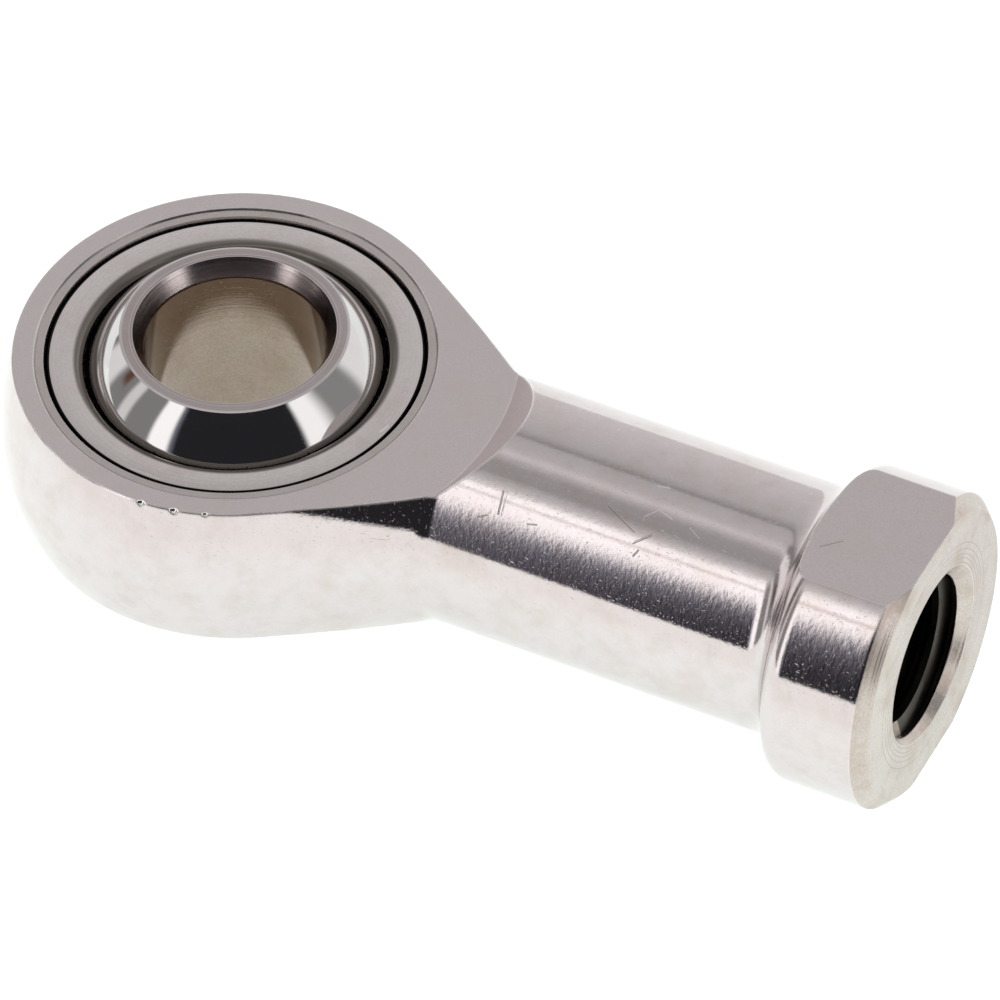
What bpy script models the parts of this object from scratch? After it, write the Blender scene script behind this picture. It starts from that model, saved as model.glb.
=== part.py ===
"""Female rod end bearing, size 12: threaded housing, outer race, liner and ball.

+X runs along the shank to its threaded end, and +Z runs along the bore of the ball.
The origin is the middle of the bounding box, on the shank's axis. Sizes are in metres.
Shapes are drawn about the centre of the ball, which is also the origin of each object.
"""

import math

import bmesh
import bpy
from mathutils import Vector

# Ball
BALL_RADIUS = 0.0111125
BALL_WIDTH = 0.016
BORE_RADIUS = 0.006
BORE_MOUTH_RADIUS = 0.0067
BORE_MOUTH_DEPTH = 0.00124
BALL_FACE_RADIUS = 0.00755
BALL_EDGE_DROP = 0.0001

# Liner: a thin spherical band between race and ball
LINER_INNER_RADIUS = 0.0112
LINER_OUTER_RADIUS = 0.0115
LINER_WIDTH = 0.0094

# Outer race
RACE_OUTER_RADIUS = 0.0124
RACE_WIDTH = 0.0112
RACE_CORNER = 0.00015
RACE_SOCKET_RADIUS = 0.01158
RACE_SOCKET_WIDTH = 0.0097
LIP_MOUTH_RADIUS = 0.01085
LIP_RADIUS = 0.01005
LIP_DROP = 0.00055

# Eye of the housing
HEAD_RADIUS = 0.01585
HEAD_THICKNESS = 0.0118
RACE_SEAT_RADIUS = 0.01246
SEAT_CHAMFER_RADIUS = 0.01265
SEAT_CHAMFER_DEPTH = 0.00043
SEAT_RECESS_RADIUS = 0.0133
SEAT_RECESS_DEPTH = 0.00012
FLAT_END_RADIUS = 0.01865
STEP_SLOPE = 0.93

# Shank: neck, barrel and collar
BALL_TO_END = 0.0505
NECK_SLOPE = 0.55
NECK_FILLET = 0.002
BARREL_RADIUS = 0.0085
COLLAR_RADIUS = 0.0108
COLLAR_START = 0.0441
COLLAR_ROUND = 0.0014
COLLAR_FILLET = 0.002
END_CHAMFER_LENGTH = 0.0009
END_FACE_RADIUS = 0.0099
WRENCH_WIDTH = 0.0188
WRENCH_FLAT_START = 0.042

# Thread M12 x 1.75
THREAD_RADIUS = 0.006
THREAD_PITCH = 0.00175
THREAD_CORE_RADIUS = THREAD_RADIUS - 0.625 * math.sqrt(0.75) * THREAD_PITCH
THREAD_LENGTH = 0.022
DRILL_DEPTH = 0.0245
DRILL_HALF_ANGLE = math.radians(59)
MOUTH_RADIUS = 0.0064

# Facets round each turned shape
HOUSING_SEGMENTS = 48
RING_SEGMENTS = 48
THREAD_SEGMENTS = 24

BALL_X = (HEAD_RADIUS - BALL_TO_END) / 2
OVERRUN = 0.001


def clear_scene():
    for item in list(bpy.data.objects):
        bpy.data.objects.remove(item, do_unlink=True)


def metal(name, colour, roughness, metallic):
    material = bpy.data.materials.new(name)
    material.use_nodes = True
    shader = material.node_tree.nodes["Principled BSDF"]
    shader.inputs["Base Color"].default_value = (*colour, 1.0)
    shader.inputs["Roughness"].default_value = roughness
    shader.inputs["Metallic"].default_value = metallic
    return material


def arc(centre, radius, start, end, steps):
    """Points on a circle in a profile, from one angle in degrees to another."""
    points = []
    for step in range(steps + 1):
        angle = math.radians(start + (end - start) * step / steps)
        points.append((centre[0] + radius * math.cos(angle), centre[1] + radius * math.sin(angle)))
    return points


def mirrored(profile):
    """The upper half of a (radius, height) profile, followed by its mirror image below."""
    return profile + [(radius, -height) for radius, height in reversed(profile)]


def object_of(name, mesh_builder, parent, material=None):
    mesh = bpy.data.meshes.new(name)
    bmesh.ops.recalc_face_normals(mesh_builder, faces=mesh_builder.faces)
    mesh_builder.to_mesh(mesh)
    mesh_builder.free()
    item = bpy.data.objects.new(name, mesh)
    bpy.context.scene.collection.objects.link(item)
    item.parent = parent
    if material:
        mesh.materials.append(material)
        mesh.shade_smooth()
        mesh.set_sharp_from_angle(angle=math.radians(30))
    else:
        item.hide_render = True
        item.display_type = "WIRE"
    return item


def turned(profile, axis, segments, closed):
    """A profile spun once about an axis. A closed profile is a ring; an open one ends on the axis."""
    builder = bmesh.new()
    vertices = [builder.verts.new(point) for point in profile]
    edges = [builder.edges.new(pair) for pair in zip(vertices, vertices[1:])]
    if closed:
        edges.append(builder.edges.new((vertices[-1], vertices[0])))
    bmesh.ops.spin(
        builder,
        geom=vertices + edges,
        cent=(0, 0, 0),
        axis=axis,
        angle=2 * math.pi,
        steps=segments,
        use_merge=True,
    )
    bmesh.ops.remove_doubles(builder, verts=builder.verts, dist=1e-7)
    return builder


def ring(name, profile, parent, material):
    """A ring about the Z axis, from a closed (radius, height) profile."""
    points = [Vector((radius, 0, height)) for radius, height in profile]
    return object_of(name, turned(points, (0, 0, 1), RING_SEGMENTS, True), parent, material)


def housing_profile():
    """(x, radius) of the turned housing, from the crown of the eye to the threaded end."""
    slope = math.degrees(math.atan(NECK_SLOPE))
    crown = [(-x, radius) for x, radius in arc((0, 0), HEAD_RADIUS, 0, 90 + slope, 15)]
    tangent_x, tangent_radius = crown[-1]
    neck_end = tangent_x + (tangent_radius - BARREL_RADIUS) / NECK_SLOPE
    setback = NECK_FILLET * math.tan(math.radians(slope / 2))
    neck_centre = (neck_end + setback, BARREL_RADIUS + NECK_FILLET)
    neck = arc(neck_centre, NECK_FILLET, 270 - slope, 270, 2)

    round_centre = (COLLAR_START, COLLAR_RADIUS - COLLAR_ROUND)
    rise = BARREL_RADIUS + COLLAR_FILLET - round_centre[1]
    reach = math.sqrt((COLLAR_FILLET + COLLAR_ROUND) ** 2 - rise**2)
    turn = math.degrees(math.atan2(rise, reach))
    fillet_centre = (COLLAR_START - reach, BARREL_RADIUS + COLLAR_FILLET)
    fillet = arc(fillet_centre, COLLAR_FILLET, 270, 360 - turn, 4)
    rounding = arc(round_centre, COLLAR_ROUND, 180 - turn, 90, 4)[1:]

    end = [
        (BALL_TO_END - END_CHAMFER_LENGTH, COLLAR_RADIUS),
        (BALL_TO_END, END_FACE_RADIUS),
        (BALL_TO_END, 0.0),
    ]
    return [(crown[0][0], 0.0)] + crown[1:] + neck + fillet + rounding + end


def face_cutter(parent):
    """Mills the two flats of the eye: a cone frustum on each side ends each flat in an arc."""
    depth = HEAD_RADIUS - HEAD_THICKNESS / 2 + OVERRUN
    builder = bmesh.new()
    for side in (1, -1):
        frustum = bmesh.ops.create_cone(
            builder,
            cap_ends=True,
            segments=96,
            radius1=FLAT_END_RADIUS,
            radius2=FLAT_END_RADIUS + STEP_SLOPE * depth,
            depth=depth,
        )
        for vertex in frustum["verts"]:
            vertex.co.z = side * (vertex.co.z + depth / 2 + HEAD_THICKNESS / 2)
    return object_of("face_cutter", builder, parent)


def seat_cutter(parent):
    """Bores the seat of the race, with a chamfer and a shallow recess at each mouth."""
    half = HEAD_THICKNESS / 2
    recess_floor = half - SEAT_RECESS_DEPTH
    upper = [
        (0.0, half + OVERRUN),
        (SEAT_RECESS_RADIUS, half + OVERRUN),
        (SEAT_RECESS_RADIUS, half),
        (SEAT_RECESS_RADIUS - SEAT_RECESS_DEPTH, recess_floor),
        (SEAT_CHAMFER_RADIUS, recess_floor),
        (RACE_SEAT_RADIUS, recess_floor - SEAT_CHAMFER_DEPTH),
    ]
    points = [Vector((radius, 0, height)) for radius, height in mirrored(upper)]
    return object_of("seat_cutter", turned(points, (0, 0, 1), RING_SEGMENTS, False), parent)


def wrench_cutter(parent):
    """Two blocks that leave the wrench flats above and below the collar."""
    length = BALL_TO_END + OVERRUN - WRENCH_FLAT_START
    height = 2 * OVERRUN
    builder = bmesh.new()
    for side in (1, -1):
        block = bmesh.ops.create_cube(builder, size=1.0)
        for vertex in block["verts"]:
            vertex.co.x = WRENCH_FLAT_START + (vertex.co.x + 0.5) * length
            vertex.co.y *= 2 * COLLAR_RADIUS
            vertex.co.z = side * (WRENCH_WIDTH + height) / 2 + vertex.co.z * height
    return object_of("wrench_cutter", builder, parent)


def drill_cutter(parent):
    """The tapping hole with its drill point and chamfered mouth."""
    bottom = BALL_TO_END - DRILL_DEPTH
    point = bottom - THREAD_CORE_RADIUS / math.tan(DRILL_HALF_ANGLE)
    profile = [
        (point, 0.0),
        (bottom, THREAD_CORE_RADIUS),
        (BALL_TO_END - (MOUTH_RADIUS - THREAD_CORE_RADIUS), THREAD_CORE_RADIUS),
        (BALL_TO_END + OVERRUN, MOUTH_RADIUS + OVERRUN),
        (BALL_TO_END + OVERRUN, 0.0),
    ]
    points = [Vector((x, 0, radius)) for x, radius in profile]
    builder = turned(points, (1, 0, 0), THREAD_SEGMENTS, False)
    return object_of("drill_cutter", builder, parent)


def thread_cutter(parent):
    """One trapezoid swept along the helix of a right-hand thread, from past the mouth inwards."""
    buried = 0.00015
    root_half = THREAD_PITCH / 16
    foot_half = 3 * THREAD_PITCH / 8 + buried / math.sqrt(3)
    foot_radius = THREAD_CORE_RADIUS - buried
    section = [
        (-foot_half, foot_radius),
        (-root_half, THREAD_RADIUS),
        (root_half, THREAD_RADIUS),
        (foot_half, foot_radius),
    ]
    start = BALL_TO_END + 2 * THREAD_PITCH
    steps = round((THREAD_LENGTH + 2 * THREAD_PITCH) / THREAD_PITCH * THREAD_SEGMENTS)
    builder = bmesh.new()
    rows = []
    for step in range(steps + 1):
        angle = 2 * math.pi * step / THREAD_SEGMENTS
        x = start - THREAD_PITCH * step / THREAD_SEGMENTS
        rows.append(
            [
                builder.verts.new((x + along, -radius * math.sin(angle), radius * math.cos(angle)))
                for along, radius in section
            ]
        )
    for before, after in zip(rows, rows[1:]):
        for side in range(len(section)):
            other = (side + 1) % len(section)
            builder.faces.new((before[side], before[other], after[other], after[side]))
    builder.faces.new(rows[0])
    builder.faces.new(rows[-1])
    return object_of("thread_cutter", builder, parent)


def rod_end_body(parent):
    points = [Vector((x, 0, radius)) for x, radius in housing_profile()]
    builder = turned(points, (1, 0, 0), HOUSING_SEGMENTS, False)
    nickel = metal("nickel_plated_steel", (0.62, 0.58, 0.56), 0.22, 1.0)
    body = object_of("rod_end_body", builder, parent, nickel)
    for cutter in (face_cutter, seat_cutter, wrench_cutter, drill_cutter, thread_cutter):
        cut = body.modifiers.new(cutter.__name__, "BOOLEAN")
        cut.operation = "DIFFERENCE"
        cut.solver = "EXACT"
        cut.object = cutter(parent)
    return body


def outer_race(parent):
    half = RACE_WIDTH / 2
    lip = []
    for step in range(4):
        angle = math.radians(90 * step / 3)
        radius = LIP_MOUTH_RADIUS - (LIP_MOUTH_RADIUS - LIP_RADIUS) * math.sin(angle)
        lip.append((radius, half - LIP_DROP * (1 - math.cos(angle))))
    socket_angle = math.degrees(math.asin(RACE_SOCKET_WIDTH / 2 / RACE_SOCKET_RADIUS))
    socket = arc((0, 0), RACE_SOCKET_RADIUS, socket_angle, -socket_angle, 8)
    corner = [(RACE_OUTER_RADIUS, half - RACE_CORNER), (RACE_OUTER_RADIUS - RACE_CORNER, half)]
    below = [(radius, -height) for radius, height in reversed(corner + lip)]
    steel = metal("race_steel", (0.66, 0.64, 0.62), 0.32, 1.0)
    return ring("outer_race", corner + lip + socket + below, parent, steel)


def ptfe_liner(parent):
    outer_angle = math.degrees(math.asin(LINER_WIDTH / 2 / LINER_OUTER_RADIUS))
    inner_angle = math.degrees(math.asin(LINER_WIDTH / 2 / LINER_INNER_RADIUS))
    outside = arc((0, 0), LINER_OUTER_RADIUS, outer_angle, -outer_angle, 8)
    inside = arc((0, 0), LINER_INNER_RADIUS, -inner_angle, inner_angle, 8)
    fabric = metal("ptfe_fabric", (0.02, 0.02, 0.018), 0.7, 0.0)
    return ring("ptfe_liner", outside + inside, parent, fabric)


def ball(parent):
    half = BALL_WIDTH / 2
    edge_height = half - BALL_EDGE_DROP
    edge_angle = math.degrees(math.asin(edge_height / BALL_RADIUS))
    bore = mirrored([(BORE_MOUTH_RADIUS, half), (BORE_RADIUS, half - BORE_MOUTH_DEPTH)])
    sphere = arc((0, 0), BALL_RADIUS, -edge_angle, edge_angle, 14)
    faces = [(BALL_FACE_RADIUS, -half)] + sphere + [(BALL_FACE_RADIUS, half)]
    bearing_steel = metal("polished_bearing_steel", (0.6, 0.6, 0.6), 0.06, 1.0)
    return ring("ball", bore + faces, parent, bearing_steel)


def main():
    clear_scene()
    centre = bpy.data.objects.new("ball_centre", None)
    centre.location = (BALL_X, 0, 0)
    bpy.context.scene.collection.objects.link(centre)
    rod_end_body(centre)
    outer_race(centre)
    ptfe_liner(centre)
    ball(centre)


main()
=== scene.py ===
"""Female rod end bearing, size 12: nickel-plated threaded housing, race, liner and polished ball.

Each shape is drawn in millimetres about the centre of the ball: X runs along the shank to its
threaded end and Z along the bore. The four CAD solids are replaced by finer turned meshes.
"""

import math
import random

import bmesh
import bpy
from mathutils import Matrix, Vector


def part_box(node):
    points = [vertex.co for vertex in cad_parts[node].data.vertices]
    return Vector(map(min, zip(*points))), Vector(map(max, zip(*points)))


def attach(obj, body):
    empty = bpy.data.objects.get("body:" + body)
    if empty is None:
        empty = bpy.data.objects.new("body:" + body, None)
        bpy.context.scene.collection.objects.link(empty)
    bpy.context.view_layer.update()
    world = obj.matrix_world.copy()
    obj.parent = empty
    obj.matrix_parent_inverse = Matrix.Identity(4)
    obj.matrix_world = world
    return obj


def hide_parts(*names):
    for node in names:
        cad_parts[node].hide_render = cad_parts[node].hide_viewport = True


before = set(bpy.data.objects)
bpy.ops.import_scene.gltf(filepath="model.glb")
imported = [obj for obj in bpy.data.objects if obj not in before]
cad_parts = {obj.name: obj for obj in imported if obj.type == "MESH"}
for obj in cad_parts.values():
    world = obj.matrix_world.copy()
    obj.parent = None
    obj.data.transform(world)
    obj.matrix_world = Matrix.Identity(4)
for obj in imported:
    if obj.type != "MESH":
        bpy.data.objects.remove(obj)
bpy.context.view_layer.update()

MM = 0.001

HOUSING_LOW, HOUSING_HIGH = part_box("rod_end_body")
RACE_LOW, RACE_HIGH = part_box("outer_race")
BALL_LOW, BALL_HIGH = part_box("ball")
BALL_CENTRE = (BALL_LOW + BALL_HIGH) / 2

# Ball
BALL_RADIUS = 11.0
BALL_HALF = (BALL_HIGH.z - BALL_LOW.z) / 2 / MM
BORE_RADIUS = 6.0
BORE_MOUTH_RADIUS = 6.7
BORE_MOUTH_DEPTH = 1.24
BORE_MOUTH_ROUND = 0.6
BALL_FACE_RADIUS = 7.48
BALL_EDGE_DROP = 0.03

# Liner
LINER_INNER_RADIUS = 11.17
LINER_OUTER_RADIUS = 11.5
LINER_HALF = 4.75
FRINGE_LOW = 4.85
FRINGE_RISE = 0.35
FRINGE_COLUMNS = 400

# Outer race
RACE_OUTER_RADIUS = (RACE_HIGH.y - RACE_LOW.y) / 2 / MM
RACE_HALF = (RACE_HIGH.z - RACE_LOW.z) / 2 / MM
RACE_CORNER = 0.1
RACE_SOCKET_RADIUS = 11.58
RACE_SOCKET_HALF = 4.85
LIP_MOUTH_RADIUS = 10.85
LIP_RADIUS = 10.05
LIP_DROP = 0.55
LIP_STEPS = 9

# Eye of the housing
HEAD_RADIUS = (HOUSING_HIGH.y - HOUSING_LOW.y) / 2 / MM
HEAD_HALF = 5.9
RACE_SEAT_RADIUS = 12.46
SEAT_CHAMFER_RADIUS = 12.65
SEAT_CHAMFER_DEPTH = 0.43
SEAT_RECESS_RADIUS = 13.3
SEAT_RECESS_DEPTH = 0.12
FLAT_END_RADIUS = 18.65
STEP_SLOPE = 0.93

# Knocks on the near edge of the upper flat: angle about Z, radius of the ball that makes it, depth
NICKS = ((-87.3, 0.45, 0.2), (-78.6, 0.45, 0.2), (-70.5, 0.32, 0.14))
NICK_LIFT = 0.3

# Shank
BALL_TO_END = (HOUSING_HIGH.x - BALL_CENTRE.x) / MM
NECK_SLOPE = 0.55
NECK_FILLET = 2.0
BARREL_RADIUS = 8.5
COLLAR_RADIUS = 10.8
COLLAR_START = 44.1
COLLAR_ROUND = 1.4
COLLAR_FILLET = 2.0
END_CHAMFER_LENGTH = 0.9
END_FACE_RADIUS = 9.9
EDGE_ROUND = 0.12
SUPPORT_GAP = 0.06
WRENCH_HALF = (HOUSING_HIGH.z - HOUSING_LOW.z) / 2 / MM
WRENCH_FLAT_START = 42.0

# Thread M12 x 1.75
THREAD_RADIUS = 6.0
THREAD_PITCH = 1.75
THREAD_CORE_RADIUS = THREAD_RADIUS - 0.625 * math.sqrt(0.75) * THREAD_PITCH
THREAD_LENGTH = 22.0
DRILL_DEPTH = 24.5
DRILL_HALF_ANGLE = math.radians(59)
MOUTH_RADIUS = 6.2

# Fineness of the meshes
HOUSING_SEGMENTS = 240
RING_SEGMENTS = 256
THREAD_SEGMENTS = 60
MERGE_DISTANCE = 1e-5

# How far a cutter reaches past the surface that it cuts
OVERRUN = 1.0

# Camera
CAMERA_AZIMUTH = math.radians(27.74)
CAMERA_ELEVATION = math.radians(46.52)
CAMERA_ROLL = math.radians(-1.73)
CAMERA_TARGET = Vector((1.605, 0.579, -0.223)) * MM
CAMERA_DISTANCE = 0.80166
CAMERA_LENS = 440.84
SENSOR_WIDTH = 36.0

# Table and lamp
FLOOR_RADIUS = 3.0
FLOOR_ALBEDO = 0.45
LAMP_ENERGY = 1.6
LAMP_SPREAD = 120

# Colours of the bare metals; those of the ball's bore and the tapped hole are darkened as painted
# shade
NICKEL = (0.68, 0.617, 0.618)
MILLED_NICKEL = (0.716, 0.642, 0.643)
STEEL = (0.62, 0.6, 0.595)
RACE_STEEL = (0.76, 0.7, 0.69)
SEAT_STEEL = (0.6, 0.545, 0.53)
FACE_STEEL = (0.52, 0.455, 0.455)
MOUTH_STEEL = (0.6, 0.52, 0.51)
# Steel of the bore and of the tapped hole, darkened as painted shade
SHADED_BORE_STEEL = (0.36, 0.285, 0.235)
SHADED_HOLE_STEEL = (0.1, 0.09, 0.08)
END_STEEL = (0.6, 0.53, 0.49)
# Near-white steel in the knocks: a painted glint
NICK_GLINT_STEEL = (0.95, 0.94, 0.92)

# Colours of marks, painted shadows and painted highlights on the metals
STAIN = (0.4, 0.33, 0.26, 1.0)
# Pale metal on the sharp edges: partly wear, partly a painted highlight line
EDGE_WEAR_AND_HIGHLIGHT = (0.97, 0.93, 0.9, 1.0)
DARK_MARK = (0.08, 0.06, 0.05, 1.0)
# Near-white colour of the light scratches: a painted glint
PAINTED_GLINT = (0.95, 0.95, 0.95, 1.0)
GAP_SHADOW = (0.006, 0.005, 0.004, 1.0)
LIP_SHADOW = (0.01, 0.01, 0.01, 1.0)
# Painted shade on the race's lip
LIP_PAINTED_SHADE = (0.2, 0.175, 0.16, 1.0)
# Painted shade at the rim of the seat's recess
SHADED_RECESS_RIM = (0.3, 0.27, 0.26, 1.0)
END_RING = (0.36, 0.3, 0.27, 1.0)

# Colours of the liner
CLOTH_BLACK = (0.004, 0.004, 0.004, 1.0)
CLOTH_FLECK = (0.03, 0.028, 0.024, 1.0)

# Relief of the metals: the bump's distance is in metres, and a mark's depth in bump heights
BUMP_DISTANCE = 0.00002
BUMP_STRENGTH = 0.5
MARK_DEPTH = 1.4

# Lines per millimetre that a tool leaves on the end face, and elsewhere
END_FACE_LINES = 4.5
FINE_LINES = 9.0

# The roof of the light tent: (angle from straight up towards the front, level)
ROOF_STOPS = (
    (-90, 0.8),
    (-60, 0.7),
    (-36, 0.58),
    (-30, 0.46),
    (-27.5, 0.34),
    (-25, 0.56),
    (-12, 0.64),
    (-6, 0.8),
    (1, 0.52),
    (4, 0.44),
    (15, 0.41),
    (24, 0.75),
    (90, 0.7),
)

# Softboxes and dark cloths round the part, each over those before it: first and last azimuth, from
# the front towards the threaded end, then lowest and highest elevation, soft edge and colour.
PANELS = (
    (-110, -36, -10, 50, 4, (0.3, 0.3, 0.3, 1.0)),
    (-100, -82, -10, 50, 3, (1.0, 1.0, 1.0, 1.0)),
    (-78, -72, 12, 32, 2, (0.16, 0.08, 0.06, 1.0)),
    (-66, -58, -10, 50, 2, (0.9, 0.9, 0.9, 1.0)),
    (77, 104, -10, 44, 3, (1.4, 1.4, 1.4, 1.0)),
    (98, 132, -10, 48, 8, (0.34, 0.34, 0.34, 1.0)),
    (132, 190, -10, 28, 5, (1.1, 1.1, 1.1, 1.0)),
    (-28, 76, -10, 50, 2.5, (0.024, 0.0235, 0.028, 1.0)),
    (-28, -19, -10, 50, 2.5, (0.24, 0.24, 0.29, 1.0)),
    (-37, -22.3, -10, 58, 2, (1.5, 1.5, 1.5, 1.0)),
)

# A narrow seam in the front of the roof
SEAM_COLOUR = (0.62, 0.5, 0.48, 1.0)
SEAM_STRENGTH = 0.6


# ---------------------------------------------------------------- shader helpers


class Shader:
    """The node tree of a material or a world, with short calls for the nodes used here."""

    def __init__(self, owner):
        owner.use_nodes = True
        self.tree = owner.node_tree

    def add(self, kind, inputs=None, **settings):
        made = self.tree.nodes.new(kind)
        for name, value in settings.items():
            setattr(made, name, value)
        for name, value in (inputs or {}).items():
            self.feed(made.inputs[name], value)
        return made

    def feed(self, socket, value):
        if isinstance(value, bpy.types.NodeSocket):
            self.tree.links.new(value, socket)
        else:
            socket.default_value = value

    def math(self, operation, first, second=0.0, third=0.0):
        node = self.add("ShaderNodeMath", operation=operation)
        for socket, value in zip(node.inputs, (first, second, third)):
            self.feed(socket, value)
        return node.outputs[0]

    def ramp(self, value, low, high, start=0.0, end=1.0):
        """start below low, end above high, and a smooth step between them."""
        node = self.add("ShaderNodeMapRange", interpolation_type="SMOOTHSTEP")
        for socket, number in zip(node.inputs, (value, low, high, start, end)):
            self.feed(socket, number)
        return node.outputs[0]

    def band(self, value, low, high, soft):
        """1 between low and high, falling to 0 over a soft width on each side."""
        rise = self.ramp(value, low - soft, low + soft)
        fall = self.ramp(value, high - soft, high + soft, 1.0, 0.0)
        return self.math("MULTIPLY", rise, fall)

    def mix(self, factor, first, second):
        node = self.add("ShaderNodeMix", data_type="RGBA")
        self.feed(node.inputs[0], factor)
        self.feed(node.inputs[6], first)
        self.feed(node.inputs[7], second)
        return node.outputs[2]

    def noise(self, vector, scale, detail=2.0, roughness=0.5):
        settings = {"Vector": vector, "Scale": scale, "Detail": detail, "Roughness": roughness}
        return self.add("ShaderNodeTexNoise", settings).outputs["Fac"]

    def stretched(self, vector, rotation, cell):
        """A vector turned about each axis, in degrees, then divided by a cell's size."""
        angles = [math.radians(angle) for angle in rotation]
        node = self.add("ShaderNodeMapping", {"Vector": vector}, vector_type="TEXTURE")
        node.inputs["Rotation"].default_value = angles
        node.inputs["Scale"].default_value = cell
        return node.outputs[0]


def grey(level):
    return (level, level, level, 1.0)


# ---------------------------------------------------------------- materials


def millimetres(shader):
    """The place on the piece in millimetres from the ball's centre."""
    coordinates = shader.add("ShaderNodeTexCoord").outputs["Object"]
    scaled = shader.add("ShaderNodeVectorMath", operation="SCALE")
    shader.feed(scaled.inputs[0], coordinates)
    scaled.inputs["Scale"].default_value = 1 / MM
    return scaled.outputs[0]


def spread(shader, place, axis):
    """Distance from the X or Z axis through the ball's centre, in millimetres."""
    flat = shader.add("ShaderNodeVectorMath", operation="MULTIPLY")
    shader.feed(flat.inputs[0], place)
    flat.inputs[1].default_value = (0, 1, 1) if axis == "X" else (1, 1, 0)
    length = shader.add("ShaderNodeVectorMath", operation="LENGTH")
    shader.feed(length.inputs[0], flat.outputs[0])
    return length.outputs["Value"]


def tool_lines(shader, place, kind):
    """Fine lines of uneven depth left by a tool: rings about X or Z, or lines round a bore."""
    if kind == "bore":
        axes = shader.add("ShaderNodeSeparateXYZ", {"Vector": place})
        across = axes.outputs["Z"]
    else:
        across = spread(shader, place, kind)
    along = shader.add("ShaderNodeCombineXYZ", {"X": across})
    lines = END_FACE_LINES if kind == "X" else FINE_LINES
    return shader.noise(along.outputs[0], lines, 3.0, 0.7)


def peened(shader, place):
    """Dense small dents on the turned skin, a little longer round the X axis than along it."""
    axes = shader.add("ShaderNodeSeparateXYZ", {"Vector": place})
    x, y, z = axes.outputs
    turn = shader.math("MULTIPLY", shader.math("ARCTAN2", y, z), BARREL_RADIUS * 0.75)
    laid = shader.add("ShaderNodeCombineXYZ", {"X": x, "Y": turn})
    dents = shader.noise(laid.outputs[0], 2.8, 4.0, 0.62)
    glints = shader.ramp(shader.noise(laid.outputs[0], 4.0, 1.0), 0.74, 0.79)
    return shader.math("MULTIPLY_ADD", glints, 0.8, dents)


def hairlines(shader, place):
    """Short thin scratches that run several ways, and small pits."""
    found = shader.ramp(shader.noise(place, 5.0, 1.0), 0.76, 0.82)
    for tilt, angle in ((20, 25), (-35, -40), (60, 75), (5, -10)):
        across = shader.stretched(place, (tilt, tilt * 0.5, angle), (0.9, 0.12, 0.12))
        line = shader.ramp(shader.noise(across, 1.0, 1.0), 0.74, 0.8)
        found = shader.math("MAXIMUM", found, line)
    return found


def gouges(shader, place, segments):
    """Single straight scratches between pairs of points, each (start, end, half width)."""
    found = None
    for start, end, half_width in segments:
        run = Vector(end) - Vector(start)
        offset = shader.add("ShaderNodeVectorMath", operation="SUBTRACT")
        shader.feed(offset.inputs[0], place)
        offset.inputs[1].default_value = start
        dot = shader.add("ShaderNodeVectorMath", operation="DOT_PRODUCT")
        shader.feed(dot.inputs[0], offset.outputs[0])
        dot.inputs[1].default_value = run / run.length_squared
        share = shader.math("MAXIMUM", shader.math("MINIMUM", dot.outputs["Value"], 1.0), 0.0)
        nearest = shader.add("ShaderNodeVectorMath", operation="SCALE")
        nearest.inputs[0].default_value = run
        shader.feed(nearest.inputs["Scale"], share)
        gap = shader.add("ShaderNodeVectorMath", operation="DISTANCE")
        shader.feed(gap.inputs[0], offset.outputs[0])
        shader.feed(gap.inputs[1], nearest.outputs[0])
        line = shader.ramp(gap.outputs["Value"], half_width * 0.4, half_width, 1.0, 0.0)
        found = line if found is None else shader.math("MAXIMUM", found, line)
    return found


def edge_wear_and_highlight(shader, place, bevel):
    """1 on the sharp edges that the bevel finds, broken up by noise, for wear and a painted
    highlight line.
    """
    true_normal = shader.add("ShaderNodeNewGeometry").outputs["Normal"]
    dot = shader.add("ShaderNodeVectorMath", operation="DOT_PRODUCT")
    shader.feed(dot.inputs[0], true_normal)
    shader.feed(dot.inputs[1], bevel.outputs[0])
    edge = shader.ramp(dot.outputs["Value"], 0.9, 0.99, 1.0, 0.0)
    broken = shader.ramp(shader.noise(place, 0.6, 3.0), 0.38, 0.55)
    return shader.math("MULTIPLY", edge, broken)


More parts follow.
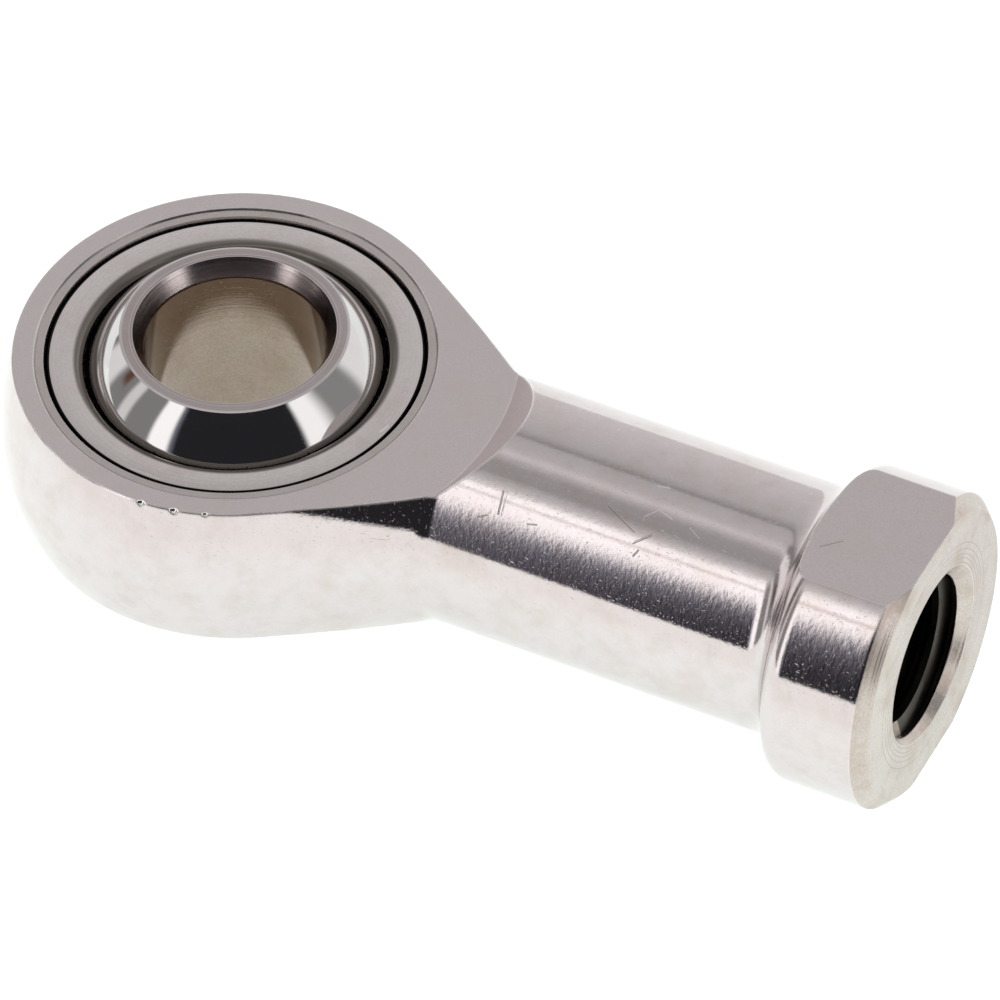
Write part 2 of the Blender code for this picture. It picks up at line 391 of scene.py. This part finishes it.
def metal(
    name,
    tint,
    roughness,
    grain=0.1,
    fleck=0.05,
    scratches=0.5,
    smudges=0.1,
    tool=None,
    edge=0.0,
    dents=0.0,
    stains=0.0,
    shades=(),
    dark_marks=(),
    painted_glint_marks=(),
):
    """Bare metal with grain, smudges and hairline scratches.

    grain, scratches and dents are depths: of the fine grain, the hairlines and a peened skin.
    fleck, smudges and stains are strengths: of specks, dull patches and brownish blotches.
    tool is (kind, depth) of the lines a tool leaves, and edge the width of the worn sharp edges,
    painted pale as wear and as a highlight line.
    shades holds (axis, low, high, soft, colour) zones between two radii about an axis.
    The marks are single scratches, each (start, end, half width); the light ones are painted
    glints.
    """
    material = bpy.data.materials.new(name)
    shader = Shader(material)
    surface = shader.tree.nodes["Principled BSDF"]
    surface.inputs["Metallic"].default_value = 1.0
    place = millimetres(shader)

    smudge = shader.noise(place, 0.3, 5.0, 0.65)
    shade = shader.ramp(smudge, 0.45, 0.68)
    dull = [level * (1.0 - smudges * (1.0 + 0.5 * step)) for step, level in enumerate(tint)]
    colour = shader.mix(shade, (*tint, 1.0), (*dull, 1.0))
    rough = shader.ramp(smudge, 0.3, 0.75, roughness * 0.85, roughness * 1.25)

    fine = shader.noise(place, 6.0, 3.0, 0.65)
    speck = [level * (1.0 - fleck * 4) for level in tint]
    colour = shader.mix(shader.ramp(fine, 0.3, 0.8, 0.0, 0.5), colour, (*speck, 1.0))
    height = shader.math("MULTIPLY", fine, grain)
    if stains:
        blotch = shader.ramp(shader.noise(place, 0.5, 8.0, 0.68), 0.42, 0.78, 0.0, stains)
        colour = shader.mix(blotch, colour, STAIN)
    if tool:
        kind, depth = tool
        lines = tool_lines(shader, place, kind)
        height = shader.math("MULTIPLY_ADD", lines, depth, height)
        worn = [level * 0.7 for level in tint]
        colour = shader.mix(shader.ramp(lines, 0.5, 0.75, 0.0, 0.6), colour, (*worn, 1.0))
    if dents:
        height = shader.math("MULTIPLY_ADD", peened(shader, place), dents, height)
    if scratches:
        height = shader.math("MULTIPLY_ADD", hairlines(shader, place), -scratches, height)
    # Dark scratches, and light ones whose pale colour is a painted glint
    for marks, mark_colour in ((dark_marks, DARK_MARK), (painted_glint_marks, PAINTED_GLINT)):
        if marks:
            cuts = gouges(shader, place, marks)
            height = shader.math("MULTIPLY_ADD", cuts, -MARK_DEPTH, height)
            colour = shader.mix(shader.math("MULTIPLY", cuts, 0.5), colour, mark_colour)
    for axis, low, high, soft, zone in shades:
        radius = spread(shader, place, axis)
        colour = shader.mix(shader.band(radius, low, high, soft), colour, zone)
    relief = {"Strength": BUMP_STRENGTH, "Distance": BUMP_DISTANCE, "Height": height}
    bump = shader.add("ShaderNodeBump", relief)
    if edge:
        bevel = shader.add("ShaderNodeBevel", samples=6)
        bevel.inputs["Radius"].default_value = edge * MM
        shader.feed(bump.inputs["Normal"], bevel.outputs[0])
        # Pale edges: partly wear, partly a painted highlight line
        colour = shader.mix(edge_wear_and_highlight(shader, place, bevel), colour, EDGE_WEAR_AND_HIGHLIGHT)
    shader.feed(surface.inputs["Base Color"], colour)
    shader.feed(surface.inputs["Roughness"], rough)
    shader.feed(surface.inputs["Normal"], bump.outputs[0])
    return material


def cloth_black(name):
    """Matt black cloth with slightly paler flecks."""
    material = bpy.data.materials.new(name)
    shader = Shader(material)
    surface = shader.tree.nodes["Principled BSDF"]
    surface.inputs["Roughness"].default_value = 0.75
    place = millimetres(shader)
    fleck = shader.ramp(shader.noise(place, 5.0, 3.0, 0.7), 0.45, 0.7)
    colour = shader.mix(fleck, CLOTH_BLACK, CLOTH_FLECK)
    shader.feed(surface.inputs["Base Color"], colour)
    return material


# ---------------------------------------------------------------- mesh helpers


def arc(centre, radius, start, end, steps):
    """Points on a circle in a profile, from one angle in degrees to another."""
    points = []
    for step in range(steps + 1):
        angle = math.radians(start + (end - start) * step / steps)
        points.append((centre[0] + radius * math.cos(angle), centre[1] + radius * math.sin(angle)))
    return points


def rounded(profile, corners, radius, steps=4):
    """The profile with an arc in place of each listed corner."""
    points = []
    for place, point in enumerate(profile):
        if point not in corners:
            points.append(point)
            continue
        here = Vector(point)
        back = (Vector(profile[place - 1]) - here).normalized()
        onward = (Vector(profile[(place + 1) % len(profile)]) - here).normalized()
        half = back.angle(onward) / 2
        reach = radius / math.tan(half)
        centre = here + (back + onward).normalized() * radius / math.sin(half)
        first = here + back * reach - centre
        last = here + onward * reach - centre
        for step in range(steps + 1):
            spoke = first.lerp(last, step / steps).normalized() * radius
            points.append(tuple(centre + spoke))
    return points


def supported(profile):
    """The profile with extra points near the ends of its long straight runs, for clean shading."""
    points = [profile[0]]
    for start, end in zip(profile, profile[1:]):
        run = Vector(end) - Vector(start)
        if run.length > 4 * SUPPORT_GAP:
            gap = run.normalized() * SUPPORT_GAP
            points.append(tuple(Vector(start) + gap))
            points.append(tuple(Vector(end) - gap))
        points.append(end)
    return points


def mirrored(profile):
    """The upper half of a (radius, height) profile, followed by its mirror image below."""
    return profile + [(radius, -height) for radius, height in reversed(profile)]


def turned(points, axis, segments, closed):
    """A profile spun once about an axis: a closed one is a ring, an open one ends on the axis."""
    builder = bmesh.new()
    vertices = [builder.verts.new(point) for point in points]
    edges = [builder.edges.new(pair) for pair in zip(vertices, vertices[1:])]
    if closed:
        edges.append(builder.edges.new((vertices[-1], vertices[0])))
    bmesh.ops.spin(
        builder,
        geom=vertices + edges,
        cent=(0, 0, 0),
        axis=axis,
        angle=2 * math.pi,
        steps=segments,
        use_merge=True,
    )
    bmesh.ops.remove_doubles(builder, verts=builder.verts, dist=MERGE_DISTANCE)
    return builder


def piece(name, builder, *materials):
    """Ends a mesh made in millimetres: an object of its name at the ball's centre."""
    bmesh.ops.recalc_face_normals(builder, faces=builder.faces)
    bmesh.ops.scale(builder, vec=(MM, MM, MM), verts=builder.verts)
    mesh = bpy.data.meshes.new(name)
    builder.to_mesh(mesh)
    builder.free()
    for material in materials:
        mesh.materials.append(material)
    item = bpy.data.objects.new(name, mesh)
    bpy.context.scene.collection.objects.link(item)
    item.location = BALL_CENTRE
    return item


def smooth(item, degrees):
    """Smooth shading, with a sharp edge wherever two faces meet at more than the angle."""
    item.data.shade_smooth()
    item.data.set_sharp_from_angle(angle=math.radians(degrees))


# ---------------------------------------------------------------- housing


def housing_profile():
    """(x, radius) of the turned housing, from the crown of the eye to the threaded end."""
    slope = math.degrees(math.atan(NECK_SLOPE))
    crown = [(-x, radius) for x, radius in arc((0, 0), HEAD_RADIUS, 0, 90 + slope, 90)]
    tangent_x, tangent_radius = crown[-1]
    neck_end = tangent_x + (tangent_radius - BARREL_RADIUS) / NECK_SLOPE
    setback = NECK_FILLET * math.tan(math.radians(slope / 2))
    neck_centre = (neck_end + setback, BARREL_RADIUS + NECK_FILLET)
    neck = arc(neck_centre, NECK_FILLET, 270 - slope, 270, 10)

    round_centre = (COLLAR_START, COLLAR_RADIUS - COLLAR_ROUND)
    rise = BARREL_RADIUS + COLLAR_FILLET - round_centre[1]
    reach = math.sqrt((COLLAR_FILLET + COLLAR_ROUND) ** 2 - rise**2)
    turn = math.degrees(math.atan2(rise, reach))
    fillet_centre = (COLLAR_START - reach, BARREL_RADIUS + COLLAR_FILLET)
    fillet = arc(fillet_centre, COLLAR_FILLET, 270, 360 - turn, 16)
    rounding = arc(round_centre, COLLAR_ROUND, 180 - turn, 90, 12)[1:]

    chamfer = (BALL_TO_END - END_CHAMFER_LENGTH, COLLAR_RADIUS)
    face_edge = (BALL_TO_END, END_FACE_RADIUS)
    end = [chamfer, face_edge, (BALL_TO_END, 0.0)]
    profile = [(crown[0][0], 0.0)] + crown[1:] + neck + fillet + rounding + end
    return supported(rounded(profile, (chamfer, face_edge), EDGE_ROUND))


def face_cutter(material):
    """Mills the two flats of the eye: a cone frustum on each side ends each flat in an arc."""
    depth = HEAD_RADIUS - HEAD_HALF + OVERRUN
    builder = bmesh.new()
    for side in (1, -1):
        frustum = bmesh.ops.create_cone(
            builder,
            cap_ends=True,
            segments=RING_SEGMENTS,
            radius1=FLAT_END_RADIUS,
            radius2=FLAT_END_RADIUS + STEP_SLOPE * depth,
            depth=depth,
        )
        for vertex in frustum["verts"]:
            vertex.co.z = side * (vertex.co.z + depth / 2 + HEAD_HALF)
    return piece("face_cutter", builder, material)


def seat_cutter(material):
    """Bores the seat of the race, with a chamfer and a shallow recess at each mouth."""
    recess_floor = HEAD_HALF - SEAT_RECESS_DEPTH
    upper = [
        (0.0, HEAD_HALF + OVERRUN),
        (SEAT_RECESS_RADIUS, HEAD_HALF + OVERRUN),
        (SEAT_RECESS_RADIUS, HEAD_HALF),
        (SEAT_RECESS_RADIUS - SEAT_RECESS_DEPTH, recess_floor),
        (SEAT_CHAMFER_RADIUS, recess_floor),
        (RACE_SEAT_RADIUS, recess_floor - SEAT_CHAMFER_DEPTH),
    ]
    points = [Vector((radius, 0, height)) for radius, height in mirrored(upper)]
    return piece("seat_cutter", turned(points, (0, 0, 1), RING_SEGMENTS, False), material)


def wrench_cutter(material):
    """Two blocks that leave the wrench flats above and below the collar."""
    length = BALL_TO_END + OVERRUN - WRENCH_FLAT_START
    height = 2 * OVERRUN
    builder = bmesh.new()
    for side in (1, -1):
        block = bmesh.ops.create_cube(builder, size=1.0)
        for vertex in block["verts"]:
            vertex.co.x = WRENCH_FLAT_START + (vertex.co.x + 0.5) * length
            vertex.co.y *= 2 * COLLAR_RADIUS
            vertex.co.z = side * (WRENCH_HALF + height / 2) + vertex.co.z * height
    return piece("wrench_cutter", builder, material)


def drill_cutter(material):
    """The tapping hole with its drill point and chamfered mouth."""
    bottom = BALL_TO_END - DRILL_DEPTH
    point = bottom - THREAD_CORE_RADIUS / math.tan(DRILL_HALF_ANGLE)
    profile = [
        (point, 0.0),
        (bottom, THREAD_CORE_RADIUS),
        (BALL_TO_END - (MOUTH_RADIUS - THREAD_CORE_RADIUS), THREAD_CORE_RADIUS),
        (BALL_TO_END + OVERRUN, MOUTH_RADIUS + OVERRUN),
        (BALL_TO_END + OVERRUN, 0.0),
    ]
    points = [Vector((x, 0, radius)) for x, radius in profile]
    return piece("drill_cutter", turned(points, (1, 0, 0), THREAD_SEGMENTS, False), material)


def thread_cutter(material):
    """One trapezoid swept along the helix of a right-hand thread, from past the mouth inwards."""
    buried = 0.15
    root_half = THREAD_PITCH / 16
    foot_half = 3 * THREAD_PITCH / 8 + buried / math.sqrt(3)
    foot_radius = THREAD_CORE_RADIUS - buried
    section = [
        (-foot_half, foot_radius),
        (-root_half, THREAD_RADIUS),
        (root_half, THREAD_RADIUS),
        (foot_half, foot_radius),
    ]
    start = BALL_TO_END + 2 * THREAD_PITCH
    steps = round((THREAD_LENGTH + 2 * THREAD_PITCH) / THREAD_PITCH * THREAD_SEGMENTS)
    builder = bmesh.new()
    rows = []
    for step in range(steps + 1):
        angle = 2 * math.pi * step / THREAD_SEGMENTS
        x = start - THREAD_PITCH * step / THREAD_SEGMENTS
        rows.append(
            [
                builder.verts.new((x + along, -radius * math.sin(angle), radius * math.cos(angle)))
                for along, radius in section
            ]
        )
    for before, after in zip(rows, rows[1:]):
        for side in range(len(section)):
            other = (side + 1) % len(section)
            builder.faces.new((before[side], before[other], after[other], after[side]))
    builder.faces.new(rows[0])
    builder.faces.new(rows[-1])
    return piece("thread_cutter", builder, material)


def on_barrel(x, angle):
    """A point on the barrel, at an angle in degrees from the top towards the front."""
    turn = math.radians(angle)
    return (x, -BARREL_RADIUS * math.sin(turn), BARREL_RADIUS * math.cos(turn))


def barrel_marks():
    """Handling scratches on the barrel: the dark ones, then the light ones, which are painted
    glints.

    Each row is the x and the angle of its start, those of its end, and its half width.
    """
    dark = (
        (22.0, 34, 22.2, 44, 0.08),
        (31.6, 24.5, 32.3, 19.5, 0.04),
        (29.0, 25, 31.3, 32, 0.05),
        (31.8, 42, 32.0, 39, 0.07),
        (24.3, 44, 24.9, 43, 0.06),
        (21.0, 48, 21.5, 46, 0.06),
        (31.5, 37, 32.5, 31, 0.04),
    )
    # Painted glints on scratches
    light = (
        (31.6, 24, 32.3, 19, 0.08),
        (32.3, 19, 33.3, 21, 0.05),
        (31.6, 36, 32.6, 30, 0.06),
        (31.4, 8, 32.2, 7, 0.06),
        (34.7, 22, 35.5, 25, 0.06),
        (22.25, 34, 22.45, 44, 0.06),
    )
    return [
        [
            (on_barrel(start, above), on_barrel(end, below), width)
            for start, above, end, below, width in lines
        ]
        for lines in (dark, light)
    ]


def nick_cutter(material):
    """Small knocks on the near edge of the upper flat."""
    edge_radius = math.sqrt(HEAD_RADIUS**2 - HEAD_HALF**2)
    builder = bmesh.new()
    for angle, size, depth in NICKS:
        turn = math.radians(angle)
        reach = edge_radius + size - depth
        centre = (reach * math.cos(turn), reach * math.sin(turn), HEAD_HALF + NICK_LIFT * size)
        place = Matrix.Translation(centre)
        bmesh.ops.create_icosphere(builder, subdivisions=2, radius=size, matrix=place)
    return piece("nick_cutter", builder, material)


def housing_metals():
    """The metal of each surface of the housing, by name."""
    dark_marks, painted_glint_marks = barrel_marks()
    plated = metal(
        "nickel_plate",
        NICKEL,
        roughness=0.06,
        grain=0.1,
        fleck=0.02,
        scratches=0.6,
        smudges=0.05,
        edge=0.3,
        dents=0.48,
        stains=0.22,
        dark_marks=dark_marks,
        painted_glint_marks=painted_glint_marks,
    )
    milled = metal(
        "milled_flat",
        MILLED_NICKEL,
        roughness=0.3,
        grain=0.8,
        fleck=0.03,
        scratches=0.15,
        smudges=0.02,
        edge=0.2,
    )
    seat = metal(
        "seat_recess",
        SEAT_STEEL,
        roughness=0.25,
        grain=0.3,
        fleck=0.05,
        scratches=0.2,
        smudges=0.06,
        tool=("Z", 0.3),
        edge=0.04,
        # Painted shadow in the gap by the race, and painted shade at the recess's rim
        shades=(("Z", 12.0, 12.52, 0.03, GAP_SHADOW), ("Z", 13.16, 13.26, 0.03, SHADED_RECESS_RIM)),
    )
    wrench = metal(
        "wrench_flat",
        MILLED_NICKEL,
        roughness=0.26,
        grain=0.6,
        fleck=0.04,
        scratches=0.3,
        smudges=0.02,
        edge=0.2,
        dark_marks=(((43.56, -2.4, WRENCH_HALF), (44.68, -1.32, WRENCH_HALF), 0.05),),
    )
    end = metal(
        "shank_end",
        END_STEEL,
        roughness=0.28,
        grain=0.5,
        fleck=0.1,
        scratches=0.6,
        smudges=0.15,
        tool=("X", 3.0),
        edge=0.12,
        stains=0.4,
        shades=[
            ("X", radius, radius + 0.05, 0.04, END_RING) for radius in (6.3, 6.62, 6.9, 7.25, 7.7)
        ],
    )
    return {
        "turned": plated,
        "flat": milled,
        "seat": seat,
        "wrench": wrench,
        # The tapped hole is darkened as painted shade
        "hole": metal("drilled_hole", SHADED_HOLE_STEEL, roughness=0.3, grain=0.3),
        # The knocks are painted pale as glints
        "nick": metal("nick_glint", NICK_GLINT_STEEL, roughness=0.15, grain=0.2),
        "end": end,
    }


def cut_away(body, cutters):
    """Subtracts the cutters from the body, keeping their materials on the cut faces."""
    for cutter in cutters:
        boolean = body.modifiers.new(cutter.name, "BOOLEAN")
        boolean.operation = "DIFFERENCE"
        boolean.solver = "EXACT"
        boolean.material_mode = "TRANSFER"
        boolean.object = cutter
    graph = bpy.context.evaluated_depsgraph_get()
    finished = bpy.data.meshes.new_from_object(body.evaluated_get(graph))
    body.modifiers.clear()
    body.data = finished
    for cutter in cutters:
        bpy.data.objects.remove(cutter)


def face_the_end(body, material):
    """Gives the end face, its chamfer and the chamfer of the thread's mouth their own metal."""
    body.data.materials.append(material)
    end_slot = len(body.data.materials) - 1
    mouth_end = BALL_TO_END - (MOUTH_RADIUS - THREAD_CORE_RADIUS)
    for face in body.data.polygons:
        along = face.center.x / MM
        radius = face.center.yz.length / MM
        on_end = face.normal.x > 0.5 and along > BALL_TO_END - END_CHAMFER_LENGTH
        if on_end or (along > mouth_end and radius < MOUTH_RADIUS and face.normal.x > 0.6):
            face.material_index = end_slot


def make_housing():
    """The turned blank with its flats, seat, tapped hole and knocks cut out of it."""
    metals = housing_metals()
    points = [Vector((x, 0, radius)) for x, radius in housing_profile()]
    blank = turned(points, (1, 0, 0), HOUSING_SEGMENTS, False)
    body = piece("housing", blank, metals["turned"])
    cutters = [
        face_cutter(metals["flat"]),
        seat_cutter(metals["seat"]),
        wrench_cutter(metals["wrench"]),
        drill_cutter(metals["hole"]),
        thread_cutter(metals["hole"]),
        nick_cutter(metals["nick"]),
    ]
    cut_away(body, cutters)
    face_the_end(body, metals["end"])
    smooth(body, 25)
    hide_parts("rod_end_body")
    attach(body, "housing")


# ---------------------------------------------------------------- bearing


def ring(name, profile, *materials):
    """A ring about the Z axis, from a closed (radius, height) profile."""
    points = [Vector((radius, 0, height)) for radius, height in profile]
    return piece(name, turned(points, (0, 0, 1), RING_SEGMENTS, True), *materials)


def make_race():
    """The ring in the eye, with a spherical socket and a rounded lip above and below."""
    lip = []
    for step in range(LIP_STEPS + 1):
        angle = math.radians(90 * step / LIP_STEPS)
        radius = LIP_MOUTH_RADIUS - (LIP_MOUTH_RADIUS - LIP_RADIUS) * math.sin(angle)
        lip.append((radius, RACE_HALF - LIP_DROP * (1 - math.cos(angle))))
    socket_angle = math.degrees(math.asin(RACE_SOCKET_HALF / RACE_SOCKET_RADIUS))
    socket = arc((0, 0), RACE_SOCKET_RADIUS, socket_angle, -socket_angle, 24)
    corner_centre = (RACE_OUTER_RADIUS - RACE_CORNER, RACE_HALF - RACE_CORNER)
    corner = arc(corner_centre, RACE_CORNER, 0, 90, 4)
    below = [(radius, -height) for radius, height in reversed(corner + lip)]
    steel = metal(
        "race_face",
        RACE_STEEL,
        roughness=0.2,
        grain=0.25,
        fleck=0.05,
        scratches=0.3,
        smudges=0.06,
        tool=("Z", 0.4),
        # Painted shade on the lip, painted shadow at its root and at the race's rim
        shades=(
            ("Z", 9.0, 10.68, 0.15, LIP_PAINTED_SHADE),
            ("Z", 9.0, 10.02, 0.05, LIP_SHADOW),
            ("Z", 12.26, 13.0, 0.03, GAP_SHADOW),
        ),
        # Two scratches painted pale as glints
        painted_glint_marks=(
            ((-1.4, -12.05, 5.6), (0.6, -12.1, 5.6), 0.07),
            ((11.7, -2.1, 5.6), (11.9, -1.5, 5.6), 0.12),
        ),
    )
    race = ring("race", corner + lip + socket + below, steel)
    smooth(race, 30)
    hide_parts("outer_race")
    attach(race, "housing")


def make_liner():
    """A thin band between race and ball, with a ragged edge above and below."""
    strands = random.Random(12)
    inside_steps = 16
    outer_angle = math.degrees(math.asin(LINER_HALF / LINER_OUTER_RADIUS))
    edge_angle = math.degrees(math.asin(FRINGE_LOW / LINER_INNER_RADIUS))
    outside = arc((0, 0), LINER_OUTER_RADIUS, outer_angle, -outer_angle, 12)
    inside = arc((0, 0), LINER_INNER_RADIUS, -edge_angle, edge_angle, inside_steps)
    builder = bmesh.new()
    columns = []
    for column in range(FRINGE_COLUMNS):
        turn = 2 * math.pi * column / FRINGE_COLUMNS
        frayed = list(inside)
        for place, side in ((0, -1), (inside_steps, 1)):
            # Only every other column rises, so that the edge is frayed and not wavy.
            height = FRINGE_LOW + FRINGE_RISE * strands.random() ** 2 * (column % 2)
            radius = math.sqrt(LINER_INNER_RADIUS**2 - height**2)
            frayed[place] = (radius, side * height)
        columns.append(
            [
                builder.verts.new((radius * math.cos(turn), radius * math.sin(turn), height))
                for radius, height in outside + frayed
            ]
        )
    for here, there in zip(columns, columns[1:] + columns[:1]):
        for place, corner in enumerate(here):
            onward = (place + 1) % len(here)
            builder.faces.new((corner, here[onward], there[onward], there[place]))
    liner = piece("liner", builder, cloth_black("woven_liner"))
    smooth(liner, 60)
    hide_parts("ptfe_liner")
    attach(liner, "liner")


def ball_metals():
    """The metals of the ball: its sphere, its flat faces, the mouths of its bore and the bore."""
    polished = metal(
        "polished_ball",
        STEEL,
        roughness=0.05,
        grain=0.01,
        fleck=0.0,
        scratches=0.04,
        smudges=0.03,
        # Two scratches painted pale as glints
        painted_glint_marks=(
            ((2.9, -7.72, 7.44), (3.81, -7.35, 7.41), 0.05),
            ((5.89, -6.77, 6.56), (6.08, -7.05, 6.06), 0.05),
        ),
    )
    turned_face = metal(
        "ball_face",
        FACE_STEEL,
        roughness=0.2,
        grain=0.15,
        fleck=0.04,
        scratches=0.2,
        smudges=0.08,
        tool=("Z", 1.5),
        # Rings on the face: the bright ones at the bore's mouth and at the rim are painted
        # highlights, the thin ones between are lines of the turning
        shades=(
            ("Z", 6.6, 6.74, 0.03, (0.66, 0.6, 0.6, 1.0)),
            ("Z", 6.8, 6.84, 0.04, (0.4, 0.36, 0.35, 1.0)),
            ("Z", 6.9, 6.94, 0.04, (0.62, 0.57, 0.57, 1.0)),
            ("Z", 7.12, 7.15, 0.03, (0.44, 0.4, 0.4, 1.0)),
            ("Z", 7.4, 7.6, 0.03, (0.66, 0.61, 0.62, 1.0)),
        ),
    )
    chamfer = metal(
        "ball_chamfer",
        MOUTH_STEEL,
        roughness=0.2,
        grain=0.05,
        fleck=0.04,
        scratches=0.05,
        smudges=0.08,
        tool=("bore", 1.5),
    )
    # Darkened as painted shade inside the bore
    bored = metal(
        "ball_bore",
        SHADED_BORE_STEEL,
        roughness=0.07,
        grain=0.08,
        fleck=0.1,
        scratches=0.4,
        smudges=0.1,
        tool=("bore", 0.5),
        stains=0.35,
    )
    return polished, turned_face, chamfer, bored


def make_ball():
    """The inner ring: a sphere with two flat faces and a chamfered bore."""
    edge_height = BALL_HALF - BALL_EDGE_DROP
    edge_angle = math.degrees(math.asin(edge_height / BALL_RADIUS))
    mouth = (BORE_MOUTH_RADIUS, BALL_HALF)
    throat = (BORE_RADIUS, BALL_HALF - BORE_MOUTH_DEPTH)
    half_bore = rounded([mouth, throat, (BORE_RADIUS, 0.0)], (throat,), BORE_MOUTH_ROUND)[:-1]
    sphere = arc((0, 0), BALL_RADIUS, -edge_angle, edge_angle, 72)
    lower_rim = (BALL_FACE_RADIUS, -BALL_HALF)
    upper_rim = (BALL_FACE_RADIUS, BALL_HALF)
    profile = mirrored(half_bore) + [lower_rim] + sphere + [upper_rim]
    ball = ring("bearing_ball", profile, *ball_metals())
    for face in ball.data.polygons:
        radius = face.center.xy.length / MM
        if radius < BORE_RADIUS + 0.02:
            face.material_index = 3
        elif radius < BORE_MOUTH_RADIUS:
            face.material_index = 2
        elif abs(face.normal.z) > 0.9:
            face.material_index = 1
    smooth(ball, 12)
    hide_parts("ball")
    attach(ball, "ball")


# ---------------------------------------------------------------- stage, light and camera


def make_floor():
    """A white table top that the part lies on, on its lower wrench flat, glowing with painted
    light that is brightest in a band under the part.
    """
    builder = bmesh.new()
    bmesh.ops.create_circle(builder, cap_ends=True, segments=96, radius=FLOOR_RADIUS)
    mesh = bpy.data.meshes.new("floor")
    builder.to_mesh(mesh)
    builder.free()
    floor = bpy.data.objects.new("floor", mesh)
    floor.location.z = HOUSING_LOW.z
    bpy.context.scene.collection.objects.link(floor)
    material = bpy.data.materials.new("white_table")
    shader = Shader(material)
    surface = shader.tree.nodes["Principled BSDF"]
    surface.inputs["Base Color"].default_value = grey(FLOOR_ALBEDO)
    surface.inputs["Roughness"].default_value = 1.0
    surface.inputs["Specular IOR Level"].default_value = 0.0
    surface.inputs["Emission Strength"].default_value = 1.0
    axes = shader.add("ShaderNodeSeparateXYZ")
    shader.feed(axes.inputs[0], shader.add("ShaderNodeTexCoord").outputs["Object"])
    y = axes.outputs["Y"]
    # Painted light on the table: brightest and a little green in a band under the part
    front_painted_light = (0.72, 0.74, 0.71, 1.0)
    middle_painted_light = (0.82, 0.9, 0.87, 1.0)
    rear_painted_light = (0.66, 0.7, 0.69, 1.0)
    glow = shader.mix(shader.ramp(y, -0.06, -0.012), front_painted_light, middle_painted_light)
    glow = shader.mix(shader.ramp(y, 0.0, 0.02), glow, rear_painted_light)
    shader.feed(surface.inputs["Emission Color"], glow)
    mesh.materials.append(material)


def make_lamp():
    """A wide soft light from above that brightens the table. The metal doesn't mirror it."""
    data = bpy.data.lights.new("overhead", "SUN")
    data.energy = LAMP_ENERGY
    data.angle = math.radians(LAMP_SPREAD)
    lamp = bpy.data.objects.new("overhead", data)
    lamp.visible_glossy = False
    bpy.context.scene.collection.objects.link(lamp)


def make_studio():
    """A light tent seen by the metal: grey roof and rear, a dark front between two softboxes."""
    world = bpy.data.worlds.new("studio")
    bpy.context.scene.world = world
    shader = Shader(world)
    background = shader.tree.nodes["Background"]
    direction = shader.add("ShaderNodeTexCoord").outputs["Generated"]
    axes = shader.add("ShaderNodeSeparateXYZ")
    shader.feed(axes.inputs[0], direction)
    x, y, z = axes.outputs
    front = shader.math("MULTIPLY", y, -1.0)
    azimuth = shader.math("DEGREES", shader.math("ARCTAN2", x, front))
    elevation = shader.math("DEGREES", shader.math("ARCSINE", z))
    roof_angle = shader.math("DEGREES", shader.math("ARCTAN2", front, z))

    roof = shader.add("ShaderNodeValToRGB")
    place = shader.math("MULTIPLY_ADD", roof_angle, 1 / 180, 0.5)
    shader.feed(roof.inputs[0], place)
    elements = roof.color_ramp.elements
    while len(elements) < len(ROOF_STOPS):
        elements.new(0.5)
    for element, (angle, level) in zip(elements, ROOF_STOPS):
        element.position = angle / 180 + 0.5
        element.color = grey(level)
    light = roof.outputs[0]

    for start, end, low, high, soft, colour in PANELS:
        across = shader.band(azimuth, start, end, soft)
        upright = shader.band(elevation, low, high, soft * 2)
        light = shader.mix(shader.math("MULTIPLY", across, upright), light, colour)
    seam = shader.math("MULTIPLY", shader.band(roof_angle, 35, 37, 0.8), SEAM_STRENGTH)
    seam = shader.math("MULTIPLY", seam, shader.band(azimuth, -45, -18, 4))
    light = shader.mix(seam, light, SEAM_COLOUR)
    seen = shader.add("ShaderNodeLightPath").outputs["Is Camera Ray"]
    shader.feed(background.inputs["Color"], shader.mix(seen, light, grey(1.0)))


def make_camera():
    """The camera fitted to the photo."""
    data = bpy.data.cameras.new("camera")
    data.lens = CAMERA_LENS
    data.sensor_width = SENSOR_WIDTH
    data.clip_start = 0.05
    data.clip_end = 20.0
    camera = bpy.data.objects.new("camera", data)
    level = math.cos(CAMERA_ELEVATION)
    back = Vector(
        (
            math.sin(CAMERA_AZIMUTH) * level,
            -math.cos(CAMERA_AZIMUTH) * level,
            math.sin(CAMERA_ELEVATION),
        )
    )
    camera.rotation_mode = "QUATERNION"
    facing = (-back).to_track_quat("-Z", "Y")
    camera.rotation_quaternion = facing @ Matrix.Rotation(CAMERA_ROLL, 3, "Z").to_quaternion()
    camera.location = CAMERA_TARGET + back * CAMERA_DISTANCE
    bpy.context.scene.collection.objects.link(camera)
    bpy.context.scene.camera = camera


def main():
    bpy.context.scene.view_settings.view_transform = "Standard"
    make_housing()
    make_race()
    make_liner()
    make_ball()
    make_floor()
    make_lamp()
    make_studio()
    make_camera()


main()
